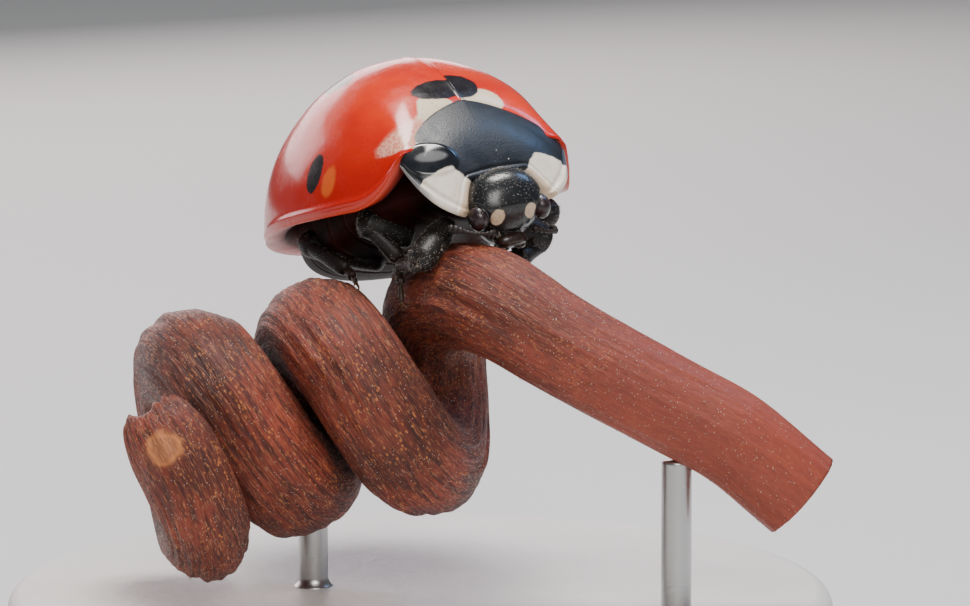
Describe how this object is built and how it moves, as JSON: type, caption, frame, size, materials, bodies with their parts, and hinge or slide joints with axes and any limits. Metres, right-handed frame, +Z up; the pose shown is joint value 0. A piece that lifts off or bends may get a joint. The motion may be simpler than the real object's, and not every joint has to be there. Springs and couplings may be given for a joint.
{
  "type": "ladybird beetle model",
  "caption": "Still, life-size seven-spot ladybird resting on a coiled dry tendril, held by rods on a flat round display stand.",
  "frame": {"origin": "centre of the bounding box at the underside of the round stand base", "axes": "+Z up from the stand; the beetle's head points toward -Y and its left side toward +X, turned on the stand with its perch"},
  "size_m": [0.0166, 0.0166, 0.0119],
  "materials": {
    "wing_case": "glossy red chitin",
    "black_shell": "satin black chitin",
    "limb": "satin black chitin",
    "eye": "glossy dark eye",
    "belly": "satin dark chitin",
    "bark": "dry fibrous plant stem",
    "stand": "satin off-white",
    "rod": "satin steel"
  },
  "bodies": {
    "root": {"elytron_left": "wing_case", "elytron_right": "wing_case", "scutellum": "black_shell", "pronotum": "black_shell", "head": "black_shell", "labrum": "black_shell", "eye_left": "eye", "eye_right": "eye", "antenna_left": "limb", "antenna_right": "limb", "palp_left": "limb", "palp_right": "limb", "thorax": "belly", "abdomen": "belly", "leg_front_right_femur": "limb", "leg_front_right_tibia": "limb", "leg_front_right_tarsus": "limb", "leg_front_left_femur": "limb", "leg_front_left_tibia": "limb", "leg_front_left_tarsus": "limb", "leg_middle_right_femur": "limb", "leg_middle_right_tibia": "limb", "leg_middle_right_tarsus": "limb", "leg_middle_left_femur": "limb", "leg_middle_left_tibia": "limb", "leg_middle_left_tarsus": "limb", "leg_hind_right_femur": "limb", "leg_hind_right_tibia": "limb", "leg_hind_right_tarsus": "limb", "leg_hind_left_femur": "limb", "leg_hind_left_tibia": "limb", "leg_hind_left_tarsus": "limb", "perch_tip_end": "bark", "perch_tip_bend": "bark", "perch_coil_1": "bark", "perch_coil_2": "bark", "perch_coil_3": "bark", "perch_coil_4": "bark", "perch_stem": "bark", "stand_base": "stand", "stand_rod_coil": "rod", "stand_rod_stem": "rod"}
  },
  "joints": []
}
